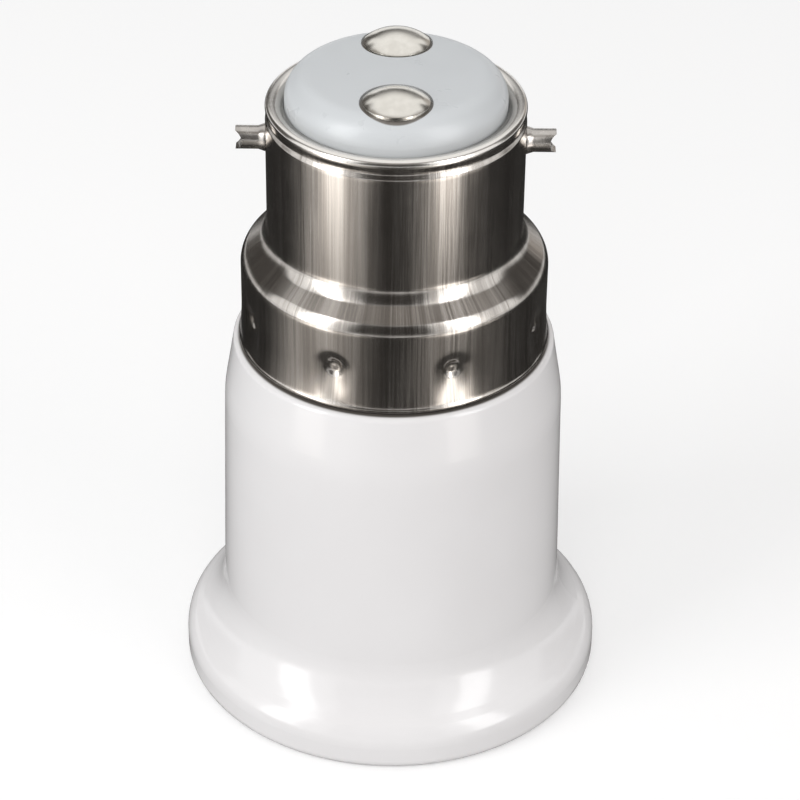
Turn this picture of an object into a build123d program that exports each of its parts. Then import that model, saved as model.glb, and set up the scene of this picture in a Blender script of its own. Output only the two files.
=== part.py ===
from build123d import *
import os
from math import cos, radians, sin, sqrt, tan

# Bayonet plug to screw socket lamp adapter, standing on the rim of its socket.
# Millimetres. Z runs up the adapter's axis from the plane of the mouth's rim,
# X runs along the two bayonet pins, and the front is towards -Y.

os.makedirs("parts", exist_ok=True)

# Screw sleeve of the lamp's socket, drawn at the radius of the thread's roots
thread_r = 13.3
thread_length = 17.0
sleeve_sheet = 0.3
sleeve_mouth_z = 9.5
sleeve_clearance = 0.15
sleeve_neck = 4.5
sleeve_neck_round = 1.2
sleeve_end_r = 11.6
sleeve_bend_r = 0.5
sleeve_ring = 1.2
tab_width = 5.2

# Moulded housing
mouth_r = 19.0
lip_height = 3.4
lip_round = 0.9
lip_top_round = 2.4
flare_angle = 50.0
flare_round = 6.0
flare_fill = 0.9
housing_wall = 1.2
wall_draft = 1.25
shoulder_drop = 5.4
shoulder_round = 14.0
ledge_step = 0.75
ledge_round = 0.5
ledge_rise = 0.95
floor_thickness = 2.4
mouth_wall = 2.0
mouth_round = 0.4
bell_height = 1.9
bell_round = 1.5
neck_wall = 1.3
neck_clearance = 0.2
neck_top_gap = 0.95
neck_lead_in = 0.6

# Drawn bayonet cap
cap_sheet = 0.35
skirt_r = 13.3
skirt_gap = 0.3
skirt_height = 7.9
shoulder_height = 1.95
shoulder_edge_round = 1.6
shoulder_root_round = 1.9
barrel_r = 11.0
barrel_height = 12.8
rim_round = 0.42
rim_crown_inset = 0.6
rim_crown_fall = 0.2
rim_crown_round = 0.6
rim_lip = 1.56
rim_lip_fall = 0.45
groove_drop = 1.2
groove_depth = 0.25
groove_half_width = 0.5
groove_round = 0.5

# Stake dimples that lock the cap to the housing's neck
stake_count = 8
stake_rise = 3.6
stake_mouth_r = 0.75
stake_tip_r = 0.3
stake_depth = 0.55
stake_overrun = 0.2
stake_clearance = 0.05

# Bayonet side pins
pin_r = 1.0
pin_bore_r = 0.5
pin_span = 27.0
pin_drop = 3.8
pin_foot_r = 1.2
pin_foot_height = 0.6
pin_tail_r = 1.4
pin_tail = 0.4
pin_mouth_r = 0.92
pin_mouth_offset = 0.35
pin_fit = 0.03

# Insulator and its two domed contacts
insulator_rise = 2.4
insulator_round = 2.2
insulator_crown = 0.2
insulator_drop = 2.4
insulator_clearance = 0.06
contact_spacing = 10.9
contact_r = 2.8
contact_rise = 1.25
contact_edge = 0.3
contact_seat_gap = 0.25
contact_seat_depth = 0.15
contact_shank_r = 1.3
contact_bore_r = 0.55
contact_bore_depth = 3.5
contact_tail_r = 1.75
contact_tail = 0.5
contact_fit = 0.04

# Sprung centre contact, a bent leaf under the floor
leaf_sheet = 0.4
leaf_width = 5.5
leaf_foot = 4.0
leaf_root_x = 4.4
leaf_bend_r = 0.6
leaf_slope = 32.0
leaf_nose_r = 1.1
leaf_tip = 1.9
leaf_tip_slope = 15.0

# Tubular rivets through the floor, and the leads soldered into their bores
rivet_shank_r = 1.1
rivet_bore_r = 0.55
rivet_head_r = 1.75
rivet_head = 0.55
rivet_edge = 0.3
rivet_fit = 0.05
rivet_wall_gap = 0.15
lead_r = 0.45
lead_overlap = 1.2
lead_run = 3.0
lead_bend_share = 0.45
lead_sleeve_wall = 0.45
lead_sleeve_gap = 0.04
lead_sleeve_inset = 0.3

# Heights that follow from the sizes above
neck_z = sleeve_mouth_z + thread_length
floor_z = neck_z + sleeve_neck
floor_top_z = floor_z + floor_thickness
ledge_z = floor_top_z + ledge_rise
wall_top_z = ledge_z - shoulder_drop
skirt_z = ledge_z + skirt_gap
skirt_top_z = skirt_z + skirt_height
neck_top_z = skirt_top_z - neck_top_gap
barrel_z = skirt_top_z + shoulder_height
rim_z = barrel_z + barrel_height
pin_z = rim_z - pin_drop
stake_z = skirt_z + stake_rise
groove_z = rim_z - groove_drop
insulator_top_z = rim_z + insulator_rise
insulator_foot_z = rim_z - insulator_drop
contact_seat_z = insulator_top_z - contact_seat_depth
contact_tail_z = insulator_foot_z - contact_tail
rivet_top_z = floor_top_z + rivet_head

# Radii and offsets from the axis that follow from the sizes above
bore_r = thread_r + sleeve_sheet + sleeve_clearance
wall_r = bore_r + housing_wall
ledge_r = skirt_r + ledge_step
neck_r = skirt_r - cap_sheet - neck_clearance
neck_bore_r = neck_r - neck_wall
mouth_bore_r = mouth_r - mouth_wall
rim_crown_r = barrel_r - rim_crown_inset
rim_lip_r = barrel_r - rim_lip
barrel_bore_r = barrel_r - cap_sheet
contact_y = contact_spacing / 2
leaf_rivet_x = leaf_root_x + leaf_foot / 2
tab_rivet_y = min(neck_bore_r, sleeve_end_r - sleeve_bend_r) - rivet_wall_gap - rivet_head_r

# The flare's slope meets the drafted wall here
flare_tan = tan(radians(flare_angle))
draft_tan = tan(radians(wall_draft))
flare_z = (mouth_r + lip_height * flare_tan - wall_r - wall_top_z * draft_tan) / (flare_tan - draft_tan)
flare_r = wall_r + (wall_top_z - flare_z) * draft_tan

# The slope's length, less the part that the lip's round takes, limits the round at the flare's foot
flare_slope = (mouth_r - flare_r) / sin(radians(flare_angle))
lip_top_reach = lip_top_round * tan(radians(flare_angle / 2))
flare_room = (flare_slope - lip_top_reach) / tan(radians((flare_angle - wall_draft) / 2))
flare_fillet = min(flare_round, flare_fill * flare_room)
bell_top_z = bell_height + (mouth_bore_r - bore_r) / flare_tan

# One plane for each stake dimple, on the skirt's face and looking out from the axis.
# The row is turned by half a pitch, so that no dimple is in line with a pin.
stake_pitch = radians(360 / stake_count)
stake_planes = []
for i in range(stake_count):
    angle = i * stake_pitch + stake_pitch / 2
    facing = Vector(cos(angle), sin(angle), 0)
    stake_planes.append(Plane(origin=facing * skirt_r + Vector(0, 0, stake_z), z_dir=facing))


def stake_cones(start, end, wide_r, narrow_r, mode):
    """A cone at each stake, from start beyond the skirt's face to end inside it."""
    with Locations(*[plane.offset(start) for plane in stake_planes]):
        inward = (Align.CENTER, Align.CENTER, Align.MAX)
        Cone(narrow_r, wide_r, start + end, align=inward, mode=mode)


def rivet_corners(axis_x, seat_z):
    """Half-section of a tubular rivet: its head is under seat_z and its rolled tail on the floor."""
    bore_x = axis_x + rivet_bore_r
    shank_x = axis_x + rivet_shank_r
    head_x = axis_x + rivet_head_r
    return [
        (bore_x, seat_z - rivet_head),
        (head_x - rivet_edge, seat_z - rivet_head),
        (head_x, seat_z - rivet_head + rivet_edge),
        (head_x, seat_z),
        (shank_x, seat_z),
        (shank_x, floor_top_z),
        (head_x, floor_top_z),
        (head_x, rivet_top_z - rivet_edge),
        (head_x - rivet_edge, rivet_top_z),
        (bore_x, rivet_top_z),
    ]


# Housing: one revolved section, then the rivet holes in its floor and the stake pockets in its neck
with BuildPart() as housing_body:
    with BuildSketch(Plane.XZ):
        with BuildLine():
            outline = {
                (mouth_bore_r, 0): mouth_round,
                (mouth_r, 0): lip_round,
                (mouth_r, lip_height): lip_top_round,
                (flare_r, flare_z): flare_fillet,
                (wall_r, wall_top_z): shoulder_round,
                (ledge_r, ledge_z): ledge_round,
                (neck_r, ledge_z): 0,
                (neck_r, neck_top_z - neck_lead_in): 0,
                (neck_r - neck_lead_in, neck_top_z): 0,
                (neck_bore_r, neck_top_z): 0,
                (neck_bore_r, floor_top_z): 0,
                (0, floor_top_z): 0,
                (0, floor_z): 0,
                (bore_r, floor_z): 0,
                (bore_r, bell_top_z): bell_round,
                (mouth_bore_r, bell_height): bell_round,
            }
            FilletPolyline(*outline.keys(), radius=outline.values(), close=True)
        make_face()
    revolve(axis=Axis.Z)
    with Locations(
        (leaf_rivet_x, 0, floor_top_z),
        (0, tab_rivet_y, floor_top_z),
        (0, -tab_rivet_y, floor_top_z),
    ):
        Hole(rivet_shank_r + rivet_fit, floor_thickness)
    stake_cones(
        -cap_sheet / 2,
        stake_depth + cap_sheet + stake_clearance,
        stake_mouth_r + cap_sheet + stake_clearance,
        stake_tip_r + cap_sheet / 2 + stake_clearance,
        Mode.SUBTRACT,
    )
housing_body.part.label = "housing_body"
export_step(housing_body.part, "parts/housing_body.step")

# Bayonet cap: the drawn sheet's outer line is given its thickness inwards, revolved and staked
with BuildPart() as bayonet_shell:
    with BuildSketch(Plane.XZ):
        with BuildLine():
            FilletPolyline(
                (skirt_r, skirt_z),
                (skirt_r, skirt_top_z),
                (barrel_r, barrel_z),
                (barrel_r, groove_z - groove_half_width),
                (barrel_r - groove_depth, groove_z),
                (barrel_r, groove_z + groove_half_width),
                (barrel_r, rim_z - rim_crown_fall),
                (rim_crown_r, rim_z),
                (rim_lip_r, rim_z - rim_lip_fall),
                radius=[
                    shoulder_edge_round,
                    shoulder_root_round,
                    groove_round,
                    groove_round,
                    groove_round,
                    rim_round,
                    rim_crown_round,
                ],
            )
            offset(amount=cap_sheet, side=Side.LEFT)
        make_face()
    revolve(axis=Axis.Z)
    stake_cones(
        -cap_sheet / 2,
        stake_depth + cap_sheet,
        stake_mouth_r + cap_sheet,
        stake_tip_r + cap_sheet / 2,
        Mode.ADD,
    )
    stake_spread = (stake_mouth_r - stake_tip_r) / stake_depth
    stake_cones(
        stake_overrun,
        stake_depth,
        stake_mouth_r + stake_overrun * stake_spread,
        stake_tip_r,
        Mode.SUBTRACT,
    )
    with BuildSketch(Plane.YZ):
        with Locations((0, pin_z)):
            Circle(pin_r + pin_fit)
    extrude(amount=barrel_r, both=True, mode=Mode.SUBTRACT)
bayonet_shell.part.label = "bayonet_shell"
export_step(bayonet_shell.part, "parts/bayonet_shell.step")

# Side pins: turned tubes with a small foot outside the barrel, a rolled tail inside and a fish-mouth end
pin_tip_x = pin_span / 2
pin_seat_x = sqrt(barrel_bore_r**2 - pin_tail_r**2) - pin_fit
for side, outwards in (("left", -1), ("right", 1)):
    with BuildPart() as bayonet_pin:
        with BuildSketch(Plane.XZ):
            with BuildLine():
                Polyline(
                    (outwards * (pin_seat_x - pin_tail), pin_z + pin_bore_r),
                    (outwards * pin_tip_x, pin_z + pin_bore_r),
                    (outwards * pin_tip_x, pin_z + pin_r),
                    (outwards * (barrel_r + pin_foot_height), pin_z + pin_r),
                    (outwards * barrel_r, pin_z + pin_foot_r),
                    (outwards * barrel_r, pin_z + pin_r),
                    (outwards * pin_seat_x, pin_z + pin_r),
                    (outwards * pin_seat_x, pin_z + pin_tail_r),
                    (outwards * (pin_seat_x - pin_tail), pin_z + pin_tail_r),
                    close=True,
                )
            make_face()
        revolve(axis=Axis((0, 0, pin_z), (1, 0, 0)))
        with BuildSketch(Plane.XZ):
            with Locations((outwards * (pin_tip_x + pin_mouth_offset), pin_z)):
                Circle(pin_mouth_r)
        extrude(amount=pin_r, both=True, mode=Mode.SUBTRACT)
    bayonet_pin.part.label = f"bayonet_pin_{side}"
    export_step(bayonet_pin.part, f"parts/bayonet_pin_{side}.step")

# Insulator: a raised plug in the rim's mouth. Its edge is trapped in the rim's bead, between the lip
# that falls towards the axis above it and the flank of the rolled groove below it.
plug_r = rim_lip_r - insulator_clearance
plateau_r = plug_r - insulator_round
edge_r = barrel_bore_r - 2 * insulator_clearance
spigot_r = barrel_bore_r - groove_depth - insulator_clearance
crown_slope = rim_crown_fall / rim_crown_inset
lip_slope = rim_lip_fall / (rim_crown_r - rim_lip_r)
flank_slope = groove_half_width / groove_depth


def sheet_depth(slope):
    """Height of the sheet and the clearance under it, where the sheet rises by slope."""
    return (cap_sheet + insulator_clearance) * sqrt(1 + slope**2)


def under_lip(r):
    """A point of the insulator's upper shoulder, which follows the lip."""
    return (r, rim_z - lip_slope * (rim_crown_r - r) - sheet_depth(lip_slope))


def over_groove(r):
    """A point of the insulator's lower shoulder, which follows the groove's upper flank."""
    return (r, groove_z - flank_slope * (barrel_r - groove_depth - r) + sheet_depth(flank_slope))


# The trapped edge is flat on top, under the sheet between the bead's crown and its outer corner
edge_top_z = rim_z - crown_slope * (edge_r - rim_crown_r) - sheet_depth(crown_slope)
edge_top_r = rim_crown_r - (rim_z - sheet_depth(lip_slope) - edge_top_z) / lip_slope

with BuildPart() as contact_insulator:
    with BuildSketch(Plane.XZ):
        with BuildLine():
            Polyline(
                (0, insulator_top_z + insulator_crown),
                (0, insulator_foot_z),
                (spigot_r, insulator_foot_z),
                over_groove(spigot_r),
                over_groove(edge_r),
                (edge_r, edge_top_z),
                (edge_top_r, edge_top_z),
                under_lip(plug_r),
                (plug_r, insulator_top_z - insulator_round),
            )
            TangentArc(
                (plug_r, insulator_top_z - insulator_round),
                (plateau_r, insulator_top_z),
                tangent=(0, 1),
            )
            TangentArc(
                (0, insulator_top_z + insulator_crown),
                (plateau_r, insulator_top_z),
                tangent=(1, 0),
            )
        make_face()
    revolve(axis=Axis.Z)
    for y in (-contact_y, contact_y):
        with Locations((0, y, contact_seat_z)):
            Cylinder(
                contact_r + contact_seat_gap,
                contact_seat_depth + insulator_crown,
                align=(Align.CENTER, Align.CENTER, Align.MIN),
                mode=Mode.SUBTRACT,
            )
            Hole(contact_shank_r + contact_fit)
contact_insulator.part.label = "contact_insulator"
export_step(contact_insulator.part, "parts/contact_insulator.step")

# Domed contacts: rivets through the insulator, with a blind bore for the lead
for place, y in (("front", -contact_y), ("rear", contact_y)):
    with BuildPart() as contact:
        with BuildSketch(Plane.XZ.offset(-y)):
            with BuildLine():
                Polyline(
                    (contact_r, contact_seat_z + contact_edge),
                    (contact_r, contact_seat_z),
                    (contact_shank_r, contact_seat_z),
                    (contact_shank_r, insulator_foot_z),
                    (contact_tail_r, insulator_foot_z),
                    (contact_tail_r, contact_tail_z),
                    (contact_bore_r, contact_tail_z),
                    (contact_bore_r, contact_tail_z + contact_bore_depth),
                    (0, contact_tail_z + contact_bore_depth),
                    (0, contact_seat_z + contact_rise),
                )
                TangentArc(
                    (0, contact_seat_z + contact_rise),
                    (contact_r, contact_seat_z + contact_edge),
                    tangent=(1, 0),
                )
            make_face()
        revolve(axis=Axis((0, y, 0), (0, 0, 1)))
    contact.part.label = f"contact_{place}"
    export_step(contact.part, f"parts/contact_{place}.step")

# Screw sleeve: a drawn tube that necks in to a ring under the floor, with two tabs for its rivets
with BuildPart() as screw_shell:
    with BuildSketch(Plane.XZ):
        with BuildLine():
            FilletPolyline(
                (thread_r + sleeve_sheet, sleeve_mouth_z),
                (thread_r + sleeve_sheet, neck_z),
                (sleeve_end_r + sleeve_sheet, floor_z),
                (sleeve_end_r - sleeve_ring, floor_z),
                radius=[sleeve_neck_round + sleeve_sheet, sleeve_bend_r + sleeve_sheet],
            )
            offset(amount=sleeve_sheet, side=Side.LEFT)
        make_face()
    revolve(axis=Axis.Z)
    tab_end_y = sleeve_end_r - sleeve_ring / 2
    with BuildSketch(Plane.XY.offset(floor_z)):
        for y in (-1, 1):
            with Locations((0, y * (tab_rivet_y + tab_end_y) / 2)):
                Rectangle(tab_width, tab_end_y - tab_rivet_y)
            with Locations((0, y * tab_rivet_y)):
                Circle(tab_width / 2)
                Circle(rivet_shank_r + rivet_fit, mode=Mode.SUBTRACT)
    extrude(amount=-sleeve_sheet)
screw_shell.part.label = "screw_shell"
export_step(screw_shell.part, "parts/screw_shell.step")

# Two rivets hold the sleeve's tabs to the floor
with BuildPart() as shell_rivets:
    for y in (-tab_rivet_y, tab_rivet_y):
        with BuildSketch(Plane.XZ.offset(-y)):
            with BuildLine():
                Polyline(*rivet_corners(0, floor_z - sleeve_sheet), close=True)
            make_face()
        revolve(axis=Axis((0, y, 0), (0, 0, 1)))
shell_rivets.part.label = "shell_rivets"
export_step(shell_rivets.part, "parts/shell_rivets.step")

# Centre contact: a strip bent down from its riveted foot, with a rounded nose on the axis
nose_z = floor_z - leaf_root_x * tan(radians(leaf_slope))
with BuildPart() as centre_contact:
    with BuildSketch(Plane.XZ):
        with BuildLine():
            FilletPolyline(
                (leaf_root_x + leaf_foot, floor_z),
                (leaf_root_x, floor_z),
                (0, nose_z),
                (-leaf_tip, nose_z + leaf_tip * tan(radians(leaf_tip_slope))),
                radius=[leaf_bend_r + leaf_sheet, leaf_nose_r],
            )
            offset(amount=leaf_sheet, side=Side.LEFT)
        make_face()
    extrude(amount=leaf_width / 2, both=True)
    with Locations((leaf_rivet_x, 0, floor_z)):
        Hole(rivet_shank_r + rivet_fit, leaf_sheet)
centre_contact.part.label = "centre_contact"
export_step(centre_contact.part, "parts/centre_contact.step")

# The leaf's own rivet
with BuildPart() as centre_rivet:
    with BuildSketch(Plane.XZ):
        with BuildLine():
            Polyline(*rivet_corners(leaf_rivet_x, floor_z - leaf_sheet), close=True)
        make_face()
    revolve(axis=Axis((leaf_rivet_x, 0, 0), (0, 0, 1)))
centre_rivet.part.label = "centre_rivet"
export_step(centre_rivet.part, "parts/centre_rivet.step")

# Leads: bare ends in the rivet's and the contact's bores, sleeved in between
for name, foot, head in (
    ("centre_lead", Vector(leaf_rivet_x, 0, 0), Vector(0, -contact_y, 0)),
    ("shell_lead", Vector(0, tab_rivet_y, 0), Vector(0, contact_y, 0)),
):
    up = Vector(0, 0, 1)
    low_bend = foot + up * (rivet_top_z + lead_run)
    high_bend = head + up * (contact_tail_z - lead_run)
    turn = radians((high_bend - low_bend).get_angle(up))
    bend_r = lead_bend_share * lead_run / tan(turn / 2)
    bare = (rivet_top_z - lead_overlap, contact_tail_z + lead_overlap)
    sleeved = (rivet_top_z + lead_sleeve_inset, contact_tail_z - lead_sleeve_inset)
    with BuildPart() as lead:
        with BuildLine() as route:
            FilletPolyline(foot + up * bare[0], low_bend, high_bend, head + up * bare[1], radius=bend_r)
        with BuildSketch(Plane(origin=route.line @ 0, z_dir=up)):
            Circle(lead_r)
        sweep()
    lead.part.label = name
    export_step(lead.part, f"parts/{name}.step")
    with BuildPart() as lead_sleeve:
        with BuildLine() as route:
            FilletPolyline(foot + up * sleeved[0], low_bend, high_bend, head + up * sleeved[1], radius=bend_r)
        with BuildSketch(Plane(origin=route.line @ 0, z_dir=up)):
            Circle(lead_r + lead_sleeve_gap + lead_sleeve_wall)
            Circle(lead_r + lead_sleeve_gap, mode=Mode.SUBTRACT)
        sweep()
    lead_sleeve.part.label = f"{name}_sleeve"
    export_step(lead_sleeve.part, f"parts/{name}_sleeve.step")
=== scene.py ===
# %% [markdown]
# # A lamp adapter, dressed in Blender
# A bayonet plug made of drawn, nickel-plated sheet stands on a white moulded housing that holds
# a screw socket. The solids come in at their real size and stay where they are. This lesson gives
# each surface its finish, and remodels the pieces whose look depends on small soft forms.

import math

import bmesh
import bpy
from mathutils import Matrix, Vector


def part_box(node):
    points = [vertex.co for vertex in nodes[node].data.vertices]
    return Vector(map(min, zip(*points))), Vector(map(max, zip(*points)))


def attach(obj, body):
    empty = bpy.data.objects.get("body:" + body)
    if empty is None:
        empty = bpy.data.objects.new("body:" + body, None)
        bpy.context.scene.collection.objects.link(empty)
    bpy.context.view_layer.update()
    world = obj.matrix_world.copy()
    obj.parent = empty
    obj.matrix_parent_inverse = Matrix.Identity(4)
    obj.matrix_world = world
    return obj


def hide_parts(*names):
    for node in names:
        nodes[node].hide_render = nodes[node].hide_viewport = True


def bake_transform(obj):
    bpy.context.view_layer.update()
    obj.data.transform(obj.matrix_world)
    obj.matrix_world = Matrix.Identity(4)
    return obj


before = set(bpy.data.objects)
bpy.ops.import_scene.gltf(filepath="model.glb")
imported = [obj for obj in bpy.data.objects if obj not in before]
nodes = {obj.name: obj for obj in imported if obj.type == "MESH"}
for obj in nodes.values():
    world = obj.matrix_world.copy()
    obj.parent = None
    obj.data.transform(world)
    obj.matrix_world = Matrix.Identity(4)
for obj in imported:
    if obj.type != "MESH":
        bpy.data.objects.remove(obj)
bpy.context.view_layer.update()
MM = 0.001

# %% [markdown]
# ## Camera
# The picture was taken from in front and above, with a long lens. Its place was worked out from
# the ellipses of the rims: the flatter an ellipse looks, the lower the camera stands. A matrix
# built from the viewing direction says this more plainly than three turns in a row would.

# %% Camera at the photograph's angle
PICTURE_PX = 800
FOCAL_PX = 2852.3
SENSOR_MM = 36.0
CLIP_START_M = 0.01
PITCH_DEG, YAW_DEG, ROLL_DEG = 33.81, 0.171, 0.74
camera_place = Vector((0, -211.9, 168.9)) * MM

pitch, yaw, roll = (math.radians(angle) for angle in (PITCH_DEG, YAW_DEG, ROLL_DEG))
forward = Vector((
    math.sin(yaw) * math.cos(pitch), math.cos(yaw) * math.cos(pitch), -math.sin(pitch),
))
level = Vector((math.cos(yaw), -math.sin(yaw), 0))
upright = level.cross(forward)
right = math.cos(roll) * level + math.sin(roll) * upright
up = math.cos(roll) * upright - math.sin(roll) * level

camera = bpy.data.objects.new("camera", bpy.data.cameras.new("camera"))
bpy.context.scene.collection.objects.link(camera)
camera.data.sensor_width = SENSOR_MM
camera.data.lens = FOCAL_PX * SENSOR_MM / PICTURE_PX
camera.data.clip_start = CLIP_START_M
turned = Matrix((right, up, -forward)).transposed().to_4x4()
camera.matrix_world = Matrix.Translation(camera_place) @ turned
bpy.context.scene.camera = camera
bpy.context.scene.view_settings.view_transform = "Standard"
print("lens in mm:", round(camera.data.lens, 2))
print("distance in mm:", round(camera_place.length / MM, 1))

# %% [markdown]
# ## Studio
# White plastic only needs soft light, but polished metal has no colour of its own to show: it
# shows the room. So the studio has two halves. A floor, a world and three soft boxes light the
# object. Strips, dark cards and a mat, which only reflections can see, stand for the room.

# %% Helpers for shader nodes
def shader_node(tree, kind, **values):
    """A new node, with its unlinked inputs set by name."""
    made = tree.nodes.new(kind)
    for name, value in values.items():
        made.inputs[name.replace("_", " ")].default_value = value
    return made


def maths(tree, operation, first, second=0.0):
    """A Math node. Each operand is a number or another node's output."""
    made = tree.nodes.new("ShaderNodeMath")
    made.operation = operation
    for socket, value in zip(made.inputs, (first, second)):
        if isinstance(value, (int, float)):
            socket.default_value = value
        else:
            tree.links.new(value, socket)
    return made.outputs[0]


def product(tree, first, second):
    return maths(tree, "MULTIPLY", first, second)


def total(tree, first, second):
    return maths(tree, "ADD", first, second)


# %% Helpers for the studio's materials
def empty_material(name):
    """A material without nodes, and its node tree."""
    material = bpy.data.materials.new(name)
    material.use_nodes = True
    material.node_tree.nodes.clear()
    return material, material.node_tree


def mix_shaders(tree, factor, first, second):
    """The first shader where the factor is 0, and the second where it is 1."""
    made = tree.nodes.new("ShaderNodeMixShader")
    for socket, source in zip(made.inputs, (factor, first, second)):
        tree.links.new(source, socket)
    return made.outputs[0]


def show(tree, shader):
    end = tree.nodes.new("ShaderNodeOutputMaterial")
    tree.links.new(shader, end.inputs["Surface"])


def seen_ray(tree):
    """1 for rays from the camera, from mirrors and through glass, and 0 for light on a surface."""
    rays = tree.nodes.new("ShaderNodeLightPath")
    seen = maths(tree, "MAXIMUM", rays.outputs["Is Camera Ray"], rays.outputs["Is Glossy Ray"])
    return maths(tree, "MAXIMUM", seen, rays.outputs["Is Transmission Ray"])


# %% [markdown]
# ## Floor and world
# The adapter stands on white paper, in even light from all round. The paper looks a little
# brighter than its light makes it, but only to the camera and to mirrors, so the object gets no
# extra light and its shadow stays. Under the mouth the floor is open, and from below it can't be
# seen: a look into the socket then finds it lit. A plane would do for the front view alone.

# %% Floor: white paper
FLOOR_PAINT = 0.8
FLOOR_GLOW = 0.25


def floor_finish():
    material, tree = empty_material("studio_floor")
    paint = shader_node(tree, "ShaderNodeBsdfDiffuse", Color=(*[FLOOR_PAINT] * 3, 1))
    glow = shader_node(tree, "ShaderNodeEmission", Color=(1, 1, 1, 1))
    tree.links.new(product(tree, seen_ray(tree), FLOOR_GLOW), glow.inputs["Strength"])
    paper = tree.nodes.new("ShaderNodeAddShader")
    tree.links.new(paint.outputs[0], paper.inputs[0])
    tree.links.new(glow.outputs[0], paper.inputs[1])
    clear = tree.nodes.new("ShaderNodeBsdfTransparent")
    side = tree.nodes.new("ShaderNodeNewGeometry")
    from_below = side.outputs["Backfacing"]
    show(tree, mix_shaders(tree, from_below, paper.outputs[0], clear.outputs[0]))
    return material


white_paper = floor_finish()
print("paper:", white_paper.name, "with a glow of", FLOOR_GLOW)

# %% Floor: a ring that is open under the mouth
FLOOR_R_M = 3.0
RIM_R_M = 0.0182
RING_SEGMENTS = 96


def stage_mesh(name, bm, material):
    """A mesh that belongs to the studio and not to the object."""
    mesh = bpy.data.meshes.new(name)
    bm.to_mesh(mesh)
    bm.free()
    made = bpy.data.objects.new(name, mesh)
    bpy.context.scene.collection.objects.link(made)
    made.data.materials.append(material)
    return made


def flat_ring(outer_r, height):
    """A flat ring that faces up and is open under the socket's rim."""
    bm = bmesh.new()
    for radius in (RIM_R_M, outer_r):
        bmesh.ops.create_circle(bm, cap_ends=False, segments=RING_SEGMENTS, radius=radius)
    bmesh.ops.bridge_loops(bm, edges=bm.edges[:])
    bmesh.ops.translate(bm, verts=bm.verts, vec=(0, 0, height))
    bm.normal_update()
    bmesh.ops.reverse_faces(bm, faces=[face for face in bm.faces if face.normal.z < 0])
    return bm


stage_mesh("floor", flat_ring(FLOOR_R_M, 0.0), white_paper)
print("floor radius in m:", FLOOR_R_M, "open under the rim to", RIM_R_M)

# %% World
AMBIENT = 0.65
world = bpy.data.worlds.new("studio_world")
bpy.context.scene.world = world
world.use_nodes = True
tree = world.node_tree
sky = tree.nodes["Background"]
sky.inputs["Color"].default_value = (1, 1, 1, 1)
brighter = product(tree, seen_ray(tree), 1 - AMBIENT)
tree.links.new(total(tree, brighter, AMBIENT), sky.inputs["Strength"])
print("ambient light:", AMBIENT, "seen as 1")

# %% [markdown]
# ## Soft boxes
# A photographer lights such a part with a strong soft box on one side, a weaker and warmer one on
# the other and a little light from the front. An area lamp does the same. The lamps are hidden
# from reflections, because the strips further on give the highlights their exact form.

# %% Soft boxes
AIM = Vector((0, 0, 30)) * MM
SOFTBOX_DISTANCE_M = 0.5
SOFTBOX_WIDTH_M, SOFTBOX_HEIGHT_M = 0.24, 0.34


def direction(azimuth_deg, elevation_deg):
    """Unit vector from the object. Azimuth 0 is the front, and it grows towards the right."""
    a, e = math.radians(azimuth_deg), math.radians(elevation_deg)
    return Vector((math.sin(a) * math.cos(e), -math.cos(a) * math.cos(e), math.sin(e)))


def softbox(name, azimuth, elevation, radiance, colour):
    """A rectangular lamp that faces the object. Its power follows from its size and brightness."""
    lamp = bpy.data.lights.new(name, "AREA")
    lamp.shape = "RECTANGLE"
    lamp.size, lamp.size_y = SOFTBOX_WIDTH_M, SOFTBOX_HEIGHT_M
    lamp.energy = radiance * math.pi * SOFTBOX_WIDTH_M * SOFTBOX_HEIGHT_M
    lamp.color = colour
    made = bpy.data.objects.new(name, lamp)
    bpy.context.scene.collection.objects.link(made)
    towards = direction(azimuth, elevation)
    made.location = AIM + towards * SOFTBOX_DISTANCE_M
    made.rotation_mode = "QUATERNION"
    made.rotation_quaternion = towards.to_track_quat("Z", "Y")
    made.visible_camera = False
    made.visible_glossy = False


WHITE, WARM = (1.0, 1.0, 1.0), (1.0, 0.94, 0.92)
softbox("softbox_left", azimuth=-58, elevation=32, radiance=2.9, colour=WHITE)
softbox("softbox_right", azimuth=52, elevation=32, radiance=1.15, colour=WARM)
softbox("softbox_front", azimuth=-4, elevation=42, radiance=1.6, colour=WHITE)

# %% [markdown]
# ## Mat for the reflections
# Seen from above, an upright wall mirrors the table in front of it. The skirt mirrors a near ring
# of the table and the barrel a ring further out, so a mat with grey levels by angle gives each its
# own dark and pale bands. Beyond them lie the images that a glossy table gives of the two strips,
# which the housing's shoulder mirrors, and a pale part for the scoops in the skirt.

# %% Helpers for places and levels
def axes(tree, coordinates):
    """The X, Y and Z of a kind of texture coordinates, such as Object or UV."""
    place = tree.nodes.new("ShaderNodeTexCoord")
    split = tree.nodes.new("ShaderNodeSeparateXYZ")
    tree.links.new(place.outputs[coordinates], split.inputs[0])
    return [split.outputs[axis] for axis in ("X", "Y", "Z")]


def distance(tree, x, y):
    return maths(tree, "SQRT", total(tree, product(tree, x, x), product(tree, y, y)))


def rest(tree, share):
    """What is left of 1."""
    return maths(tree, "SUBTRACT", 1.0, share)


def smooth_step(tree, value, low, high):
    """0 below low, 1 above high, and a soft step between them."""
    made = tree.nodes.new("ShaderNodeMapRange")
    made.interpolation_type = "SMOOTHSTEP"
    tree.links.new(value, made.inputs["Value"])
    made.inputs["From Min"].default_value = low
    made.inputs["From Max"].default_value = high
    return made.outputs["Result"]


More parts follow.
